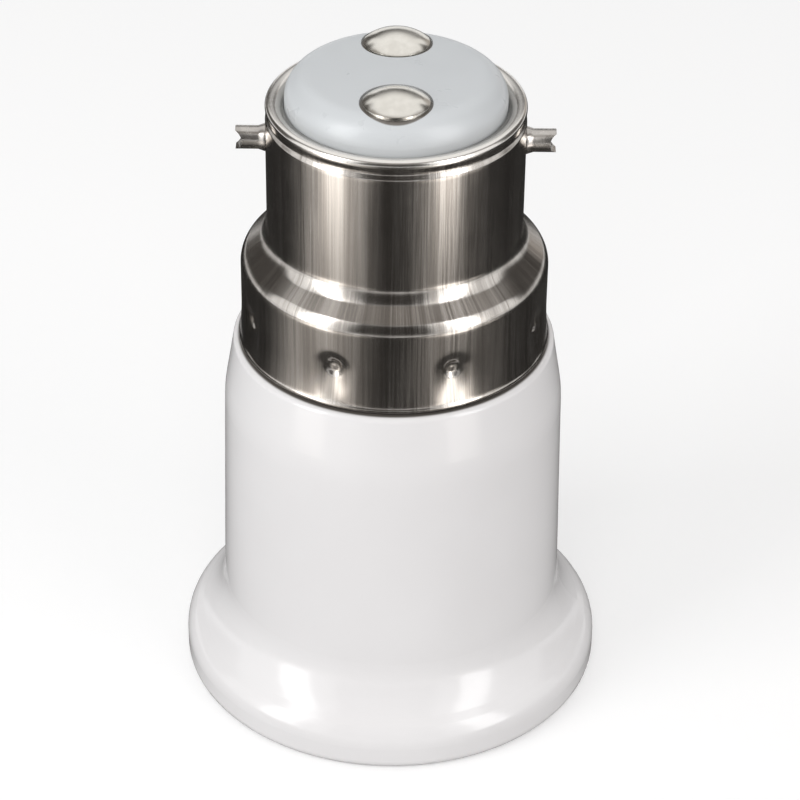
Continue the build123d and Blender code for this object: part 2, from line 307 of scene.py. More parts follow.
def ramp(tree, factor, stops):
    """A smooth Color Ramp through (position, colour) stops."""
    made = tree.nodes.new("ShaderNodeValToRGB")
    made.color_ramp.interpolation = "EASE"
    while len(made.color_ramp.elements) < len(stops):
        made.color_ramp.elements.new(0.5)
    for element, (position, colour) in zip(made.color_ramp.elements, stops):
        element.position = position
        element.color = (*colour, 1.0)
    tree.links.new(factor, made.inputs["Fac"])
    return made.outputs["Color"]


# %% Mat: the levels, by the angle from the front
BARREL_BANDS = (
    (-180, 0.03), (-104, 0.03), (-90, 0.10), (-74, 0.40), (-57, 0.85), (-44, 0.95),
    (-32, 0.50), (-22, 0.16), (-10, 0.05), (4, 0.05), (16, 0.09), (26, 0.25),
    (36, 0.62), (46, 0.62), (57, 0.18), (68, 0.05), (90, 0.03),
)
SKIRT_BANDS = (
    (-180, 0.03), (-100, 0.03), (-88, 0.12), (-72, 0.36), (-40, 0.42), (-28, 0.28),
    (-16, 0.10), (-6, 0.05), (6, 0.05), (18, 0.17), (28, 0.32), (38, 0.20),
    (50, 0.12), (74, 0.12), (90, 0.04),
)
STRIP_IMAGES = (
    (-67, 0.0), (-61, 1.0), (-46, 1.0), (-40, 0.0), (31, 0.0), (37, 1.0), (52, 1.0), (58, 0.0),
)
PALE_SECTORS = (
    (-82, 0.0), (-68, 1.0), (-27, 1.0), (-14, 0.0), (15, 0.0), (28, 1.0), (68, 1.0), (82, 0.0),
)


def by_angle(tree, share, levels):
    """A grey level by the angle round the axis, given as (degrees from the front, level)."""
    return ramp(tree, share, [(degrees / 360 + 0.5, [grey] * 3) for degrees, grey in levels])


print("bands for the barrel:", len(BARREL_BANDS), "and for the skirt:", len(SKIRT_BANDS))

# %% Mat: the rings, by the distance from the axis
SKIRT_RING_M = (0.046, 0.064)
BARREL_RING_M = (0.078, 0.094)
STRIP_IMAGE_RING_M = (0.102, 0.110)
PALE_RING_M = (0.122, 0.130)
FAR_RING_M = (0.150, 0.170)
INNER_LEVEL = 0.06
STRIP_IMAGE_LEVEL = 1.8
PALE_LEVEL = 1.2
FAR_LEVEL = 0.35
MAT_TINT = (1.0, 0.96, 0.92)


def mat_finish():
    material, tree = empty_material("reflection_mat")
    x, y, _ = axes(tree, "Object")
    angle = maths(tree, "ARCTAN2", x, product(tree, y, -1.0))
    share = total(tree, maths(tree, "DIVIDE", angle, 2 * math.pi), 0.5)
    reach = distance(tree, x, y)
    past_inner = smooth_step(tree, reach, *SKIRT_RING_M)
    barrel_part = smooth_step(tree, reach, *BARREL_RING_M)
    skirt_part = maths(tree, "SUBTRACT", past_inner, barrel_part)
    for_barrel = product(tree, by_angle(tree, share, BARREL_BANDS), barrel_part)
    for_skirt = product(tree, by_angle(tree, share, SKIRT_BANDS), skirt_part)
    inner = product(tree, rest(tree, past_inner), INNER_LEVEL)
    bands = total(tree, total(tree, for_barrel, for_skirt), inner)

    pale_part = smooth_step(tree, reach, *PALE_RING_M)
    pale = product(tree, by_angle(tree, share, PALE_SECTORS), pale_part)
    far = smooth_step(tree, reach, *FAR_RING_M)
    pale_level = total(tree, product(tree, far, FAR_LEVEL - PALE_LEVEL), PALE_LEVEL)
    image_part = smooth_step(tree, reach, *STRIP_IMAGE_RING_M)
    images = product(tree, by_angle(tree, share, STRIP_IMAGES), image_part)

    strength = product(tree, bands, rest(tree, pale))
    strength = total(tree, strength, product(tree, pale, pale_level))
    strength = total(tree, strength, product(tree, images, STRIP_IMAGE_LEVEL))
    glow = shader_node(tree, "ShaderNodeEmission", Color=(*MAT_TINT, 1))
    tree.links.new(strength, glow.inputs["Strength"])
    show(tree, glow.outputs[0])
    return material


mat_levels = mat_finish()
print("mat:", mat_levels.name, "with", len(mat_levels.node_tree.nodes), "nodes")

# %% Mat: lay it on the floor
MAT_R_M = 0.30
MAT_HEIGHT_M = 0.0002


def only_in_reflections(card):
    card.visible_camera = False
    card.visible_diffuse = False
    card.visible_shadow = False
    card.visible_transmission = False


only_in_reflections(stage_mesh("reflection_mat", flat_ring(MAT_R_M, MAT_HEIGHT_M), mat_levels))
print("mat radius in m:", MAT_R_M)

# %% [markdown]
# ## Cards and strips for the reflections
# Everything that faces upwards, such as the cap's shoulder, the contacts and the housing's flare,
# mirrors the room above the table. Two bright strips give the long highlights, and felt cards
# give the dark parts between them. Each is a grid, bent round the object by its angles, and its
# edges fade by its own UV map, as a card out of focus does. A picture of a studio could stand in
# for all of this, but separate cards can be moved one by one until each band lies right.

# %% Cards: a glow with soft edges
FELT = {"away": 0.44, "tint": (1.0, 0.93, 0.87), "edges": (0.06, 0.25, 0.25)}
RISING_FELT = {**FELT, "edges": (0.06, 0.10, 0.90)}
STRIP = {"away": 0.5, "tint": WHITE, "edges": (0.22, 0.08, 0.08)}


def card_finish(name, level, tint, edges):
    """A glow that fades out at the sides, the foot and the head of the card."""
    material, tree = empty_material(name)
    glow = shader_node(tree, "ShaderNodeEmission", Color=(*tint, 1), Strength=level)
    clear = tree.nodes.new("ShaderNodeBsdfTransparent")
    across, upwards, _ = axes(tree, "UV")
    from_side = maths(tree, "MINIMUM", across, rest(tree, across))
    cover = 1.0
    for inwards, soft in zip((from_side, upwards, rest(tree, upwards)), edges):
        cover = product(tree, smooth_step(tree, inwards, 0.0, soft), cover)
    show(tree, mix_shaders(tree, cover, clear.outputs[0], glow.outputs[0]))
    return material


print("edges of felt:", FELT["edges"], "and of strips:", STRIP["edges"])

# %% Cards: hang them round the object
CARD_COLUMNS, CARD_ROWS = 40, 4


def curved_card(name, kind, azimuth, elevation, half_width, half_height, level, fall=0):
    """A card bent round the object, with its place and size in degrees. Its ends hang by fall."""
    bm = bmesh.new()
    bm.loops.layers.uv.new("card")
    bmesh.ops.create_grid(
        bm, x_segments=CARD_COLUMNS, y_segments=CARD_ROWS, size=1.0, calc_uvs=True,
    )
    for vert in bm.verts:
        across, upwards = vert.co.x, vert.co.y
        rise = elevation - fall * across**2 + upwards * half_height
        vert.co = AIM + direction(azimuth + across * half_width, rise) * kind["away"]
    finish = card_finish(name, level, kind["tint"], kind["edges"])
    only_in_reflections(stage_mesh(name, bm, finish))


# name, kind, azimuth, elevation, half width, half height and level
curved_card("arch_over_camera", FELT, -4, 64, 122, 13, 0.28, fall=26)
curved_card("card_behind_camera", FELT, -2, 26, 32, 36, 0.05)
curved_card("card_far_left", FELT, -118, 22, 22, 26, 0.08)
curved_card("card_far_right", FELT, 118, 22, 22, 26, 0.08)
curved_card("card_side_left", FELT, -150, 12, 13, 18, 0.10)
curved_card("card_side_right", FELT, 148, 12, 10, 18, 0.45)
curved_card("card_behind_object", RISING_FELT, 180, 32, 30, 18, 0.05)
curved_card("strip_left", STRIP, -57.5, 27, 12, 36, 5.5)
curved_card("strip_right", STRIP, 52, 27, 12, 36, 5.0)

# %% [markdown]
# ## Finishes
# No real surface is quite even: its colour, its gloss and its height all drift a little. A picture
# could show that, but it needs a UV map and has seams. Noise nodes that read Object coordinates
# have neither, they keep their scale at any distance, and they stay put on the piece.

# %% Helpers for the finishes
NOISE_LOW, NOISE_HIGH = 0.3, 0.7


def new_finish(name):
    """A material with its Principled shader, and the output that gives Object coordinates."""
    material = bpy.data.materials.new(name)
    material.use_nodes = True
    tree = material.node_tree
    place = tree.nodes.new("ShaderNodeTexCoord")
    return material, tree, tree.nodes["Principled BSDF"], place.outputs["Object"]


def noise(tree, where, scale, detail=3.0, roughness=0.55):
    made = shader_node(
        tree, "ShaderNodeTexNoise", Scale=scale, Detail=detail, Roughness=roughness,
    )
    tree.links.new(where, made.inputs["Vector"])
    return made.outputs["Fac"]


def between(tree, factor, low, high):
    """The usual spread of a noise, laid out from low to high."""
    made = tree.nodes.new("ShaderNodeMapRange")
    tree.links.new(factor, made.inputs["Value"])
    for name, value in (
        ("From Min", NOISE_LOW), ("From Max", NOISE_HIGH), ("To Min", low), ("To Max", high),
    ):
        made.inputs[name].default_value = value
    return made.outputs["Result"]


def relief(tree, shader, height, depth_mm, strength=1.0):
    made = shader_node(tree, "ShaderNodeBump", Strength=strength, Distance=depth_mm * MM)
    tree.links.new(height, made.inputs["Height"])
    tree.links.new(made.outputs["Normal"], shader.inputs["Normal"])


# %% [markdown]
# ## Moulded plastics
# The housing is injection moulded in a polished tool, so it is glossy, with a faint orange peel
# where the plastic shrank. The insulator is a duller, slightly blue moulding, and the sleeves on
# the leads are soft and matt. Each could have a node tree of its own, but they differ only in
# numbers, so one function with a colour, a gloss and a peel makes all three.

# %% White housing, insulator and lead sleeves
DRIFT_SCALE, GLOSS_SCALE, PEEL_SCALE = 55, 420, 650
SMOOTHEST, ROUGHEST = 0.75, 1.3
PLASTIC_IOR = 1.5


def moulded(name, pale, deep, roughness, peel_mm):
    """Moulded plastic: a faint drift of colour, uneven gloss and a shallow orange peel."""
    material, tree, shader, where = new_finish(name)
    drift = noise(tree, where, DRIFT_SCALE, detail=2.0)
    colour = ramp(tree, drift, [(NOISE_LOW, deep), (NOISE_HIGH, pale)])
    tree.links.new(colour, shader.inputs["Base Color"])
    gloss = noise(tree, where, GLOSS_SCALE, detail=4.0)
    uneven = between(tree, gloss, roughness * SMOOTHEST, roughness * ROUGHEST)
    tree.links.new(uneven, shader.inputs["Roughness"])
    shader.inputs["IOR"].default_value = PLASTIC_IOR
    relief(tree, shader, noise(tree, where, PEEL_SCALE, detail=2.0), peel_mm)
    return material


white_plastic = moulded("white_plastic", (0.83, 0.818, 0.82), (0.80, 0.786, 0.788), 0.13, 0.004)
insulator_plastic = moulded(
    "insulator_plastic", (0.63, 0.652, 0.667), (0.605, 0.628, 0.643), 0.34, 0.0015,
)
lead_sleeve = moulded("lead_sleeve", (0.80, 0.78, 0.71), (0.72, 0.70, 0.63), 0.45, 0.02)
print("plastics:", [m.name for m in (white_plastic, insulator_plastic, lead_sleeve)])

# %% [markdown]
# ## Painted shade in the corners
# A dark base colour is painted where shade falls: on the housing's ledge under the cap's foot,
# where the gap under the skirt lies in shadow, and round the seats of the two contacts. It could be
# painted by hand as a vertex colour, but both places are round, so the distance from an axis finds
# them exactly, whatever the mesh is like.

# %% Helper for a second colour
def tint_over(material, other, keep):
    """Puts another base colour where keep is 0. Where keep is 1, the first colour stays."""
    tree = material.node_tree
    base = tree.nodes["Principled BSDF"].inputs["Base Color"]
    mixed = tree.nodes.new("ShaderNodeMix")
    mixed.data_type = "RGBA"
    mixed.inputs["A"].default_value = (*other, 1)
    tree.links.new(base.links[0].from_socket, mixed.inputs["B"])
    tree.links.new(keep, mixed.inputs["Factor"])
    tree.links.new(mixed.outputs["Result"], base)


# %% Painted shade on the ledge and round the contacts
# A dark base colour that is painted shade: the shadow in the gap under the cap's foot and in the
# creases round the contacts.
PAINTED_SHADE = (0.16, 0.145, 0.13)
CAP_FOOT_R, LEDGE_Z, LEDGE_FADE = 13.5, 34.0, 0.3
CONTACT_Y, CONTACT_SEAT_R, CONTACT_FADE = 5.45, 2.95, 0.15

tree = white_plastic.node_tree
x, y, z = axes(tree, "Object")
beside_cap = smooth_step(
    tree, distance(tree, x, y), CAP_FOOT_R * MM, (CAP_FOOT_R + LEDGE_FADE) * MM,
)
above_ledge = smooth_step(tree, z, LEDGE_Z * MM, (LEDGE_Z + LEDGE_FADE) * MM)
# Painted shadow on the housing's ledge, under the cap's foot.
tint_over(white_plastic, PAINTED_SHADE, maths(tree, "MAXIMUM", beside_cap, rest(tree, above_ledge)))

tree = insulator_plastic.node_tree
x, y, _ = axes(tree, "Object")
from_row = maths(tree, "SUBTRACT", maths(tree, "ABSOLUTE", y), CONTACT_Y * MM)
beside_contact = smooth_step(
    tree, distance(tree, x, from_row), CONTACT_SEAT_R * MM, (CONTACT_SEAT_R + CONTACT_FADE) * MM,
)
# Painted shade in a ring round the seat of each contact, where the dome meets the insulator.
tint_over(insulator_plastic, PAINTED_SHADE, beside_contact)
print("painted shade within", CAP_FOOT_R, "mm of the axis and", CONTACT_SEAT_R, "mm of each contact")

# %% [markdown]
# ## Metals
# The drawing die leaves fine lines along the cap, in clusters where it was worn. Noise gives such
# lines when it is read by the direction from the axis, which changes quickly across the lines, and
# by the height, which changes slowly. An anisotropic highlight would be simpler, but it shows no
# single line. Plated, stamped and turned pieces have small clouds in their polish instead.

# %% Helpers for lines along the metal
def round_axis(tree, where, lines, per_metre):
    """Coordinates that change with the direction from the axis, and slowly with the height."""
    split = tree.nodes.new("ShaderNodeSeparateXYZ")
    tree.links.new(where, split.inputs[0])
    flat = tree.nodes.new("ShaderNodeCombineXYZ")
    tree.links.new(split.outputs["X"], flat.inputs["X"])
    tree.links.new(split.outputs["Y"], flat.inputs["Y"])
    unit = tree.nodes.new("ShaderNodeVectorMath")
    unit.operation = "NORMALIZE"
    tree.links.new(flat.outputs[0], unit.inputs[0])
    spread = tree.nodes.new("ShaderNodeVectorMath")
    spread.operation = "SCALE"
    spread.inputs["Scale"].default_value = lines
    tree.links.new(unit.outputs[0], spread.inputs[0])
    height = tree.nodes.new("ShaderNodeCombineXYZ")
    tree.links.new(product(tree, split.outputs["Z"], per_metre), height.inputs["Z"])
    both = tree.nodes.new("ShaderNodeVectorMath")
    tree.links.new(spread.outputs[0], both.inputs[0])
    tree.links.new(height.outputs[0], both.inputs[1])
    return both.outputs[0]


def blended(tree, first, second, share):
    """A share of the first value and the rest of the second."""
    return total(tree, product(tree, first, share), product(tree, second, 1 - share))


# %% Drawn metal
CLUSTER_LINES, CLUSTER_PER_METRE = 2.4, 12
CLUSTER_EDGES = (0.48, 0.66)
CALM_SHARE = 0.25
FINE_SHARE, POLISH_SHARE = 0.6, 0.65
POLISH_SCALE = 260
DEEP_AT, PALE_AT = 0.39, 0.58
LINE_RELIEF, RELIEF_STRENGTH = 0.012, 0.5


def drawn_metal(name, pale, deep, smooth, rough, lines=70, per_metre=95):
    """Sheet metal with the fine lines of the drawing die along it, and a cloudy polish."""
    material, tree, shader, where = new_finish(name)
    worn = round_axis(tree, where, CLUSTER_LINES, CLUSTER_PER_METRE)
    cluster = smooth_step(tree, noise(tree, worn, scale=1.0, detail=1.0), *CLUSTER_EDGES)
    strength = total(tree, product(tree, cluster, 1 - CALM_SHARE), CALM_SHARE)
    along = round_axis(tree, where, lines, per_metre)
    line = noise(tree, along, scale=1.0, detail=5.0, roughness=0.7)
    streak = maths(tree, "SUBTRACT", line, 0.5)
    fine = total(tree, product(tree, streak, strength), 0.5)
    broad = noise(tree, along, scale=0.16, roughness=0.6)
    mixed = blended(tree, fine, broad, FINE_SHARE)
    colour = ramp(tree, mixed, [(DEEP_AT, deep), (PALE_AT, pale)])
    tree.links.new(colour, shader.inputs["Base Color"])
    shader.inputs["Metallic"].default_value = 1.0
    polish = blended(tree, fine, noise(tree, where, POLISH_SCALE), POLISH_SHARE)
    tree.links.new(between(tree, polish, smooth, rough), shader.inputs["Roughness"])
    relief(tree, shader, mixed, LINE_RELIEF, RELIEF_STRENGTH)
    return material


drawn_nickel = drawn_metal("drawn_nickel", (0.66, 0.625, 0.585), (0.38, 0.35, 0.32), 0.13, 0.28)
socket_nickel = drawn_metal(
    "socket_nickel", (0.72, 0.70, 0.67), (0.58, 0.56, 0.53), 0.12, 0.26, lines=40, per_metre=60,
)
print("drawn metals:", drawn_nickel.name, socket_nickel.name)

# %% Plated, turned and stamped metal
CLOUD_RELIEF, RELIEF_GRAIN = 0.004, 1.7


def plain_metal(name, pale, deep, smooth, rough, grain=900):
    """Plated or bright metal: small clouds in its polish and colour."""
    material, tree, shader, where = new_finish(name)
    cloud = noise(tree, where, grain, detail=4.0)
    colour = ramp(tree, cloud, [(NOISE_LOW, deep), (NOISE_HIGH, pale)])
    tree.links.new(colour, shader.inputs["Base Color"])
    shader.inputs["Metallic"].default_value = 1.0
    tree.links.new(between(tree, cloud, smooth, rough), shader.inputs["Roughness"])
    bumps = noise(tree, where, grain * RELIEF_GRAIN)
    relief(tree, shader, bumps, CLOUD_RELIEF, RELIEF_STRENGTH)
    return material


bright_nickel = plain_metal("bright_nickel", (0.82, 0.79, 0.73), (0.72, 0.69, 0.63), 0.14, 0.26)
pin_nickel = plain_metal("pin_nickel", (0.58, 0.55, 0.515), (0.44, 0.415, 0.39), 0.18, 0.32)
brass = plain_metal("brass", (0.83, 0.65, 0.34), (0.68, 0.50, 0.23), 0.14, 0.30, grain=600)
tinned_copper = plain_metal(
    "tinned_copper", (0.74, 0.72, 0.69), (0.60, 0.57, 0.53), 0.20, 0.38, grain=1500,
)
print("plain metals:", [m.name for m in (bright_nickel, pin_nickel, brass, tinned_copper)])

# %% [markdown]
# ## Burnished bead
# The roll that turned the rim in has rubbed the plating bright there. It is the same sheet, so it
# gets no second material, which would end in a hard line along the faces: above the groove the
# drawn nickel changes its colour in a soft step of the height.

# %% Burnish the rim's bead
BURNISHED = (0.82, 0.79, 0.75)
BURNISHED_Z, BURNISHED_FADE = 56.5, 0.25

tree = drawn_nickel.node_tree
_, _, z = axes(tree, "Object")
rolled = smooth_step(tree, z, BURNISHED_Z * MM, (BURNISHED_Z + BURNISHED_FADE) * MM)
tint_over(drawn_nickel, BURNISHED, rest(tree, rolled))
print("burnished above", BURNISHED_Z, "mm")

# %% [markdown]
# ## Bayonet cap
# The real cap is deep-drawn from one disc of sheet, so its line is a chain of soft bends with the
# same thickness everywhere. Here that line is drawn once in the XZ plane, its corners are rounded
# with a vertex bevel, and it is spun round the axis. Solidify then gives the sheet its thickness.
# A wall drawn with both its sides would need every bend twice, and they would never quite agree.

# %% Helpers for a spun line
def corner_line(bm, corners):
    """A chain of edges in the XZ plane through corners given as (radius, height) in millimetres."""
    verts = [bm.verts.new((r * MM, 0, z * MM)) for r, z in corners]
    for a, b in zip(verts, verts[1:]):
        bm.edges.new((a, b))
    return verts


def round_corner(bm, vert, radius_mm, segments):
    """Rounds a corner. The cut along its edges is the radius times tan of half the turn."""
    arms = [edge.other_vert(vert).co - vert.co for edge in vert.link_edges]
    turn = math.pi - arms[0].angle(arms[1])
    bmesh.ops.bevel(
        bm, geom=[vert], offset=radius_mm * MM * math.tan(turn / 2), offset_type="OFFSET",
        affect="VERTICES", segments=segments, profile=0.5, material=-1,
    )


def spin_round(bm, steps):
    bmesh.ops.spin(
        bm, geom=bm.verts[:] + bm.edges[:], cent=(0, 0, 0), axis=(0, 0, 1), dvec=(0, 0, 0),
        angle=2 * math.pi, steps=steps, use_merge=True,
    )


def face_outwards(bm):
    """Makes the faces agree, with the widest of them looking away from the axis."""
    bmesh.ops.recalc_face_normals(bm, faces=bm.faces)
    widest = max(bm.faces, key=lambda face: face.calc_center_median().xy.length)
    if widest.normal.xy.dot(widest.calc_center_median().xy) < 0:
        bmesh.ops.reverse_faces(bm, faces=bm.faces)


# %% Cap: draw the sheet's line and spin it
BARREL_R = 11.0
SKIRT_HEIGHT, SHOULDER_RISE, BARREL_HEIGHT = 7.9, 1.95, 12.8
FOOT_BEAD, FOOT_BEAD_RISE, FOOT_BEAD_HEIGHT = 0.10, 0.1, 0.4
GROOVE_DROP, GROOVE_HALF, GROOVE_DEPTH = 1.2, 0.5, 0.25
CROWN_INSET, CROWN_FALL = 0.6, 0.2
LIP_INSET, LIP_FALL = 1.56, 0.45
BENDS = ((0.8, 3), (1.6, 9), (1.9, 9), (0.5, 3), (0.5, 4), (0.5, 3), (0.42, 7), (0.6, 7))
SKIRT_CUTS, BARREL_CUTS, SPIN_STEPS = 30, 36, 384
cap_low, cap_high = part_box("bayonet_shell")
skirt_r, skirt_z = cap_high.x / MM, cap_low.z / MM
skirt_top_z = skirt_z + SKIRT_HEIGHT
barrel_z = skirt_top_z + SHOULDER_RISE
rim_z = barrel_z + BARREL_HEIGHT
groove_z = rim_z - GROOVE_DROP

bm = bmesh.new()
line = corner_line(bm, [
    (skirt_r, skirt_z), (skirt_r + FOOT_BEAD, skirt_z + FOOT_BEAD_RISE),
    (skirt_r, skirt_z + FOOT_BEAD_HEIGHT), (skirt_r, skirt_top_z),
    (BARREL_R, barrel_z), (BARREL_R, groove_z - GROOVE_HALF),
    (BARREL_R - GROOVE_DEPTH, groove_z), (BARREL_R, groove_z + GROOVE_HALF),
    (BARREL_R, rim_z - CROWN_FALL), (BARREL_R - CROWN_INSET, rim_z),
    (BARREL_R - LIP_INSET, rim_z - LIP_FALL),
])
for vert, (radius, segments) in zip(line[2:], BENDS):
    round_corner(bm, vert, radius, segments)
skirt_edge, barrel_edge = sorted(bm.edges, key=lambda edge: edge.calc_length())[-2:]
bmesh.ops.subdivide_edges(bm, edges=[skirt_edge], cuts=SKIRT_CUTS)
bmesh.ops.subdivide_edges(bm, edges=[barrel_edge], cuts=BARREL_CUTS)
spin_round(bm, SPIN_STEPS)
face_outwards(bm)
print("cap faces:", len(bm.faces))

# %% [markdown]
# A punch has staked the skirt in eight places. Each blow leaves a small pit with a burr in its
# middle, and draws the sheet below it into a scoop that runs out at the free edge, which flares a
# little. Sculpting could do this by hand, but no two blows would match. Here vertices are pushed
# towards the axis by a smooth step of their distance from the nearest blow.

# %% Cap: stake dimples
STAKES = 8
STAKE_RISE = 3.6
PIT_R, PIT_DEPTH = 0.95, 0.38
BURR_R, BURR_RISE = 0.60, 0.36
SCOOP_HALF, SCOOP_DEPTH, SCOOP_HEAD = 2.1, 0.45, 1.9
FOOT_FLARE, FLARE_HEIGHT = 0.22, 3.4


def fade(away, reach):
    """1 at no distance, 0 from reach on, and smooth between."""
    t = max(0.0, 1.0 - away / reach)
    return t * t * (3 - 2 * t)


def stake_depth(aside, height):
    """How far the nearest blow pushes the sheet in, by the place seen from the blow's middle."""
    if height > 0:
        scoop = fade(math.hypot(aside / SCOOP_HALF, height / SCOOP_HEAD), 1.0)
    else:
        scoop = (1.0 + height / STAKE_RISE) * fade(abs(aside), SCOOP_HALF)
    away = math.hypot(aside, height)
    return SCOOP_DEPTH * scoop + PIT_DEPTH * fade(away, PIT_R) - BURR_RISE * fade(away, BURR_R)


stake_pitch = 2 * math.pi / STAKES
moved = 0
for vert in bm.verts:
    height = vert.co.z / MM - skirt_z - STAKE_RISE
    if height > STAKE_RISE:
        continue
    turn = math.atan2(vert.co.y, vert.co.x) / stake_pitch - 0.5
    depth = stake_depth((turn - round(turn)) * stake_pitch * skirt_r, height)
    depth -= FOOT_FLARE * max(0.0, 1.0 - (height + STAKE_RISE) / FLARE_HEIGHT) ** 2
    if depth:
        vert.co.xy -= vert.co.xy.normalized() * depth * MM
        moved += 1
print("vertices moved by the stakes:", moved)

# %% [markdown]
# The pins pass through two holes in the barrel. The faces inside a hole are deleted, and the
# ragged edge that is left is drawn to a true circle on the barrel. A Boolean would cut the same
# hole, but it leaves long thin faces that shade badly on a curved sheet.

# %% Cap: pin holes
PIN_HOLE_R = 1.03
PIN_DROP = 3.8
pin_z = rim_z - PIN_DROP
inside = []
for face in bm.faces:
    middle = face.calc_center_median() / MM
    if math.hypot(middle.y, middle.z - pin_z) < PIN_HOLE_R:
        inside.append(face)
bmesh.ops.delete(bm, geom=inside, context="FACES")
for vert in bm.verts:
    if vert.is_boundary and abs(vert.co.z / MM - pin_z) < 2 * PIN_HOLE_R:
        across = Vector((vert.co.y, vert.co.z - pin_z * MM)).normalized() * PIN_HOLE_R * MM
        out = math.sqrt((BARREL_R * MM) ** 2 - across.x**2)
        vert.co = (math.copysign(out, vert.co.x), across.x, pin_z * MM + across.y)
print("faces cut for the pins:", len(inside))

# %% Cap: the finished piece
CAP_SHEET = 0.35


def piece(name, bm, material, slot, *replaced):
    """A finished mesh, which stands for the CAD nodes of the same form."""
    mesh = bpy.data.meshes.new(name)
    bm.to_mesh(mesh)
    bm.free()
    mesh.shade_smooth()
    mesh.materials.append(material)
    made = bpy.data.objects.new(name, mesh)
    bpy.context.scene.collection.objects.link(made)
    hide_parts(*replaced)
    print(name, "has", len(mesh.polygons), "faces and stands for", replaced)
    return made


def give_thickness(obj, thickness_mm, side):
    """Sheet thickness: side is -1 for inwards and 1 for outwards."""
    sheet = obj.modifiers.new("sheet", "SOLIDIFY")
    sheet.thickness = thickness_mm * MM
    sheet.offset = side
    sheet.use_even_offset = True


cap = piece("bayonet_cap", bm, drawn_nickel, "drawn_nickel", "bayonet_shell")
give_thickness(cap, CAP_SHEET, -1)
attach(cap, "adapter")

# %% [markdown]
# ## Screw socket
# The lamp screws into a sleeve of thin sheet whose thread is rolled, so the sheet itself is wavy.
# One wave of one pitch is drawn, and spin carries it round and up at the same time: after each
# turn the wave meets the end of the turn before, and merging the doubles closes the seam. The
# Screw modifier makes the same form, but its ends couldn't be cut and levelled out afterwards.

# %% Socket: the rolled thread
SLEEVE_SHEET = 0.3
THREAD_PITCH, THREAD_DEPTH, THREAD_TURNS = 3.629, 1.15, 7
THREAD_LENGTH, RUN_OUT = 16.4, 2.2
WAVE_CUTS, STEPS_PER_TURN = 13, 160
START_BELOW = 1.3
MERGE = 0.002
sleeve_low, sleeve_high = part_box("screw_shell")
root_r = sleeve_high.x / MM - SLEEVE_SHEET
mouth_z = sleeve_low.z / MM
thread_end_z = mouth_z + THREAD_LENGTH
wave_z = mouth_z - START_BELOW * THREAD_PITCH

bm = bmesh.new()
corner_line(bm, [(root_r, wave_z), (root_r, wave_z + THREAD_PITCH)])
bmesh.ops.subdivide_edges(bm, edges=bm.edges[:], cuts=WAVE_CUTS)
for vert in bm.verts:
    turn = 2 * math.pi * vert.co.z / (THREAD_PITCH * MM)
    vert.co.x -= THREAD_DEPTH * MM * (0.5 - 0.5 * math.cos(turn))
bmesh.ops.spin(
    bm, geom=bm.verts[:] + bm.edges[:], cent=(0, 0, 0), axis=(0, 0, 1),
    dvec=(0, 0, THREAD_PITCH * MM / STEPS_PER_TURN), angle=2 * math.pi * THREAD_TURNS,
    steps=STEPS_PER_TURN * THREAD_TURNS,
)
bmesh.ops.remove_doubles(bm, verts=bm.verts, dist=MERGE * MM)
for height, above in ((mouth_z, False), (thread_end_z, True)):
    bmesh.ops.bisect_plane(
        bm, geom=bm.verts[:] + bm.edges[:] + bm.faces[:], plane_co=(0, 0, height * MM),
        plane_no=(0, 0, 1), clear_outer=above, clear_inner=not above,
    )
bmesh.ops.remove_doubles(bm, verts=bm.verts, dist=MERGE * MM)
for vert in bm.verts:
    z = vert.co.z / MM
    depth = 1.0 - max(fade(z - mouth_z, RUN_OUT), fade(thread_end_z - z, RUN_OUT))
    r = vert.co.xy.length
    vert.co.xy *= (root_r * MM - (root_r * MM - r) * depth) / r
print("thread faces:", len(bm.faces), "from", round(mouth_z, 3), "to", round(thread_end_z, 3))

# %% [markdown]
# Above the thread the sleeve draws in to a ring under the housing's floor, and two tabs reach
# from the ring to the rivets. The ring is spun like the cap, the tabs are extruded from a few of
# its edges, and a bridge joins the ring to the thread. A single spun line couldn't have tabs, and
# separate meshes would show a gap between sheets that are one piece on the real sleeve.

# %% Socket: the neck, the ring and its two tabs
TAB_WIDTH, TAB_RIVET_Y = 5.2, 9.2
NECK_RISE, NECK_INSET = 16.945, 1.61
NECK_ROUND, RING_ROUND = (1.2, 4), (0.5, 5)
RING_R, ON_RING = 10.4, 0.01
SEAM, SEAM_REACH = 0.2, 0.15
ring_z = sleeve_high.z / MM - SLEEVE_SHEET

neck = bmesh.new()
line = corner_line(neck, [
    (root_r, thread_end_z + SEAM), (root_r, mouth_z + NECK_RISE),
    (root_r - NECK_INSET, ring_z), (RING_R, ring_z),
])
round_corner(neck, line[1], *NECK_ROUND)
round_corner(neck, line[2], *RING_ROUND)
spin_round(neck, STEPS_PER_TURN)


def on_tab(edge, side):
    """Whether an edge lies on the ring's inner rim, within the width of the tab on that side."""
    ends = [vert.co for vert in edge.verts]
    on_ring = all(abs(co.xy.length - RING_R * MM) < ON_RING * MM for co in ends)
    in_width = all(side * co.y > 0 and abs(co.x) <= TAB_WIDTH / 2 * MM for co in ends)
    return edge.is_boundary and on_ring and in_width


for side in (-1, 1):
    arc = [edge for edge in neck.edges if on_tab(edge, side)]
    half = max(abs(vert.co.x) for edge in arc for vert in edge.verts)
    for step in (0, 1):
        made = bmesh.ops.extrude_edge_only(neck, edges=arc)["geom"]
        arc = [item for item in made if isinstance(item, bmesh.types.BMEdge)]
        for vert in {vert for edge in arc for vert in edge.verts}:
            bulge = math.sqrt(max(0.0, half**2 - vert.co.x**2)) * step
            vert.co.y = side * (TAB_RIVET_Y * MM - bulge)
bmesh.ops.remove_doubles(neck, verts=neck.verts, dist=MERGE * MM)
print("neck faces:", len(neck.faces))

